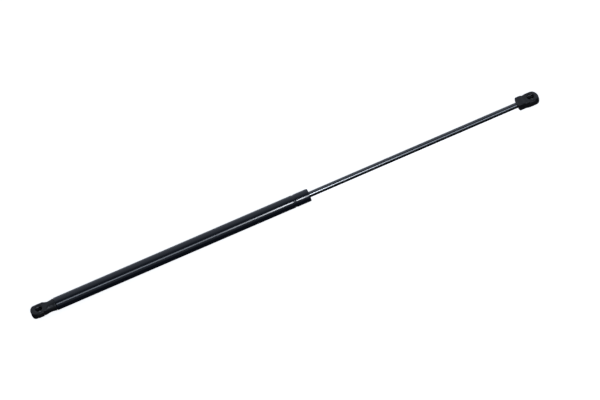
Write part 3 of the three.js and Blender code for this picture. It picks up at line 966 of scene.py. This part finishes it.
def studio_camera():
    turn, rise = math.radians(TURN), math.radians(ELEVATION)
    away = Vector((math.sin(turn), math.cos(turn) * math.cos(rise), -math.cos(turn) * math.sin(rise)))
    along = Vector((1, 0, 0)) - away * away.x
    along.normalize()
    up = along.cross(away).normalized()
    tilt = math.radians(RISE)
    right = along * math.cos(tilt) - up * math.sin(tilt)
    top = along * math.sin(tilt) + up * math.cos(tilt)
    width = (ROD_SEAT - TUBE_SEAT) * MM * math.cos(turn) / SPACING_SHARE
    lens = bpy.data.cameras.new("camera")
    lens.sensor_width = SENSOR
    lens.lens = SENSOR * CAMERA_AWAY / width
    lens.clip_end = 50
    camera = bpy.data.objects.new("camera", lens)
    aim = CENTRE - right * OFFSET[0] * width - top * OFFSET[1] * width
    camera.matrix_world = standing(aim - away * CAMERA_AWAY, right, top, -away)
    bpy.context.collection.objects.link(camera)
    bpy.context.scene.camera = camera


def soft_box(name, sideways, distance, size, power, color):
    """A rectangular light that faces the strut's middle, from the front and some way to one side."""
    light = bpy.data.lights.new(name, "AREA")
    light.shape = "RECTANGLE"
    light.size, light.size_y = size
    light.energy = power
    light.color = color
    box = bpy.data.objects.new(name, light)
    towards = Vector((sideways, -math.cos(LIGHT_RISE), math.sin(LIGHT_RISE))).normalized()
    across = (Vector((1, 0, 0)) - towards * towards.x).normalized()
    box.matrix_world = standing(CENTRE + towards * distance, across, towards.cross(across), towards)
    bpy.context.collection.objects.link(box)


def surroundings():
    """White where the camera looks. Reflections see a soft glow in front, a dark gap round the strip
    light, a brighter ceiling and back wall, and almost nothing below."""
    world = bpy.data.worlds.new("studio")
    world.use_nodes = True
    bpy.context.scene.world = world
    nodes, links = world.node_tree.nodes, world.node_tree.links
    split = nodes.new("ShaderNodeSeparateXYZ")
    links.new(nodes.new("ShaderNodeTexCoord").outputs["Generated"], split.inputs["Vector"])
    front = nodes.new("ShaderNodeMath")
    front.operation = "MULTIPLY"
    front.inputs[1].default_value = -1
    links.new(split.outputs["Y"], front.inputs[0])
    angle = nodes.new("ShaderNodeMath")
    angle.operation = "ARCTAN2"
    links.new(split.outputs["Z"], angle.inputs[0])
    links.new(front.outputs["Value"], angle.inputs[1])
    place = nodes.new("ShaderNodeMapRange")
    place.inputs["From Min"].default_value = -math.pi
    place.inputs["From Max"].default_value = math.pi
    links.new(angle.outputs["Value"], place.inputs["Value"])
    ramp = nodes.new("ShaderNodeValToRGB")
    ramp.color_ramp.interpolation = "EASE"
    stops = ramp.color_ramp.elements
    for degrees, light in GLOW:
        stop = stops.new((degrees + 180) / 360)
        stop.color = (*[light * share for share in GLOW_TINT], 1)
    stops.remove(stops[-1])
    stops.remove(stops[0])
    links.new(place.outputs["Result"], ramp.inputs["Fac"])
    choose = nodes.new("ShaderNodeMix")
    choose.data_type = "RGBA"
    links.new(nodes.new("ShaderNodeLightPath").outputs["Is Camera Ray"], choose.inputs["Factor"])
    links.new(ramp.outputs["Color"], choose.inputs["A"])
    choose.inputs["B"].default_value = (1, 1, 1, 1)
    links.new(choose.outputs["Result"], nodes["Background"].inputs["Color"])


def studio_floor():
    half = FLOOR_HALF
    corners = [(-half, -half), (half, -half), (half, half), (-half, half)]
    mesh = bpy.data.meshes.new("floor")
    mesh.from_pydata([(x, y, FLOOR) for x, y in corners], [], [(0, 1, 2, 3)])
    floor = bpy.data.objects.new("floor", mesh)
    finish = Finish("floor", (0.9, 0.9, 0.9), 0.9)
    finish.set("Specular IOR Level", 0.0)
    finish.set("Emission Color", (1, 1, 1, 1))
    finish.set("Emission Strength", 0.75)
    mesh.materials.append(finish.material)
    bpy.context.collection.objects.link(floor)
    floor.visible_glossy = False
    floor.visible_diffuse = False


def window():
    """Panes placed so that their reflections in the strut fall where WINDOW says."""
    for number, (start, stop, radiance) in enumerate(WINDOW):
        sideways = (start + stop) / 2 / WINDOW_AWAY + math.tan(math.radians(TURN))
        size = (stop - start, WINDOW_HEIGHT)
        power = radiance * math.pi * size[0] * size[1]
        soft_box(f"window_{number}", sideways, WINDOW_AWAY, size, power, WINDOW_TINT)


studio_camera()
surroundings()
studio_floor()
soft_box("strip", STRIP_SIDEWAYS, STRIP_AWAY, STRIP_SIZE, STRIP_POWER, STRIP_TINT)
window()
bpy.context.scene.view_settings.view_transform = "Standard"
